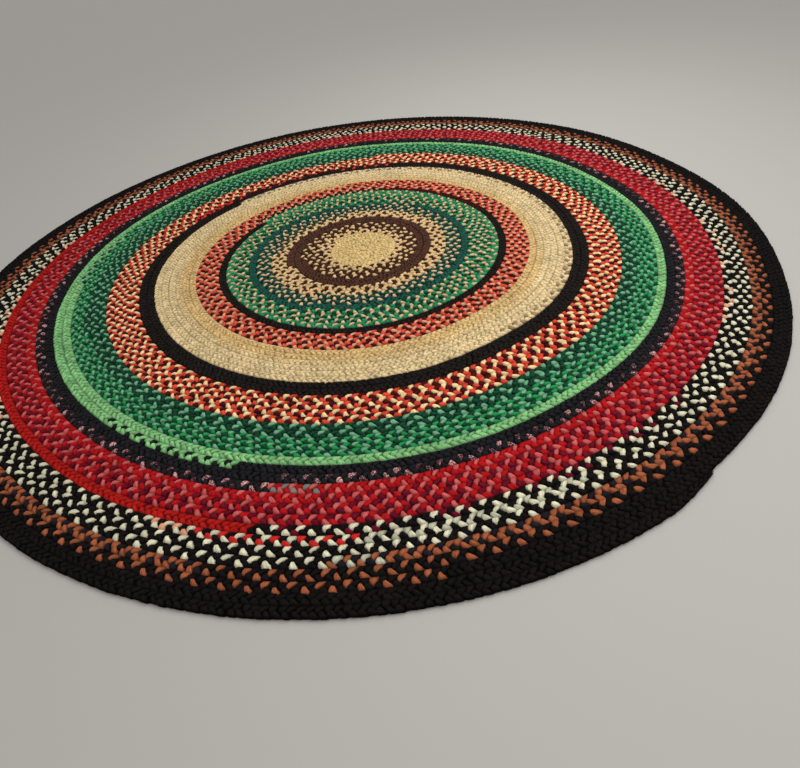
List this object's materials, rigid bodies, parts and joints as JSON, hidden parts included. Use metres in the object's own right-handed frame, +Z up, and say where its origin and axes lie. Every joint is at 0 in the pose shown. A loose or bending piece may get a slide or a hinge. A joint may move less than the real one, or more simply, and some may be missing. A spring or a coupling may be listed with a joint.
{
  "type": "round braided rug",
  "caption": "Round wool rug made of one flat three-strand braid, coiled from the middle outwards and laced edge to edge in bands of colour.",
  "frame": {"origin": "on the underside, at the middle of the outline's box", "axes": "+Z up out of the top face; seen from above the braid's coil opens counter-clockwise from +X towards +Y, and its tucked-in tail is at 303 degrees"},
  "size_m": [2.9956, 3.095, 0.012],
  "materials": {
    "braided_wool": "matt felted wool strips, braided, in bands of many colours"
  },
  "bodies": {
    "root": {"rug": "braided_wool"}
  },
  "joints": []
}
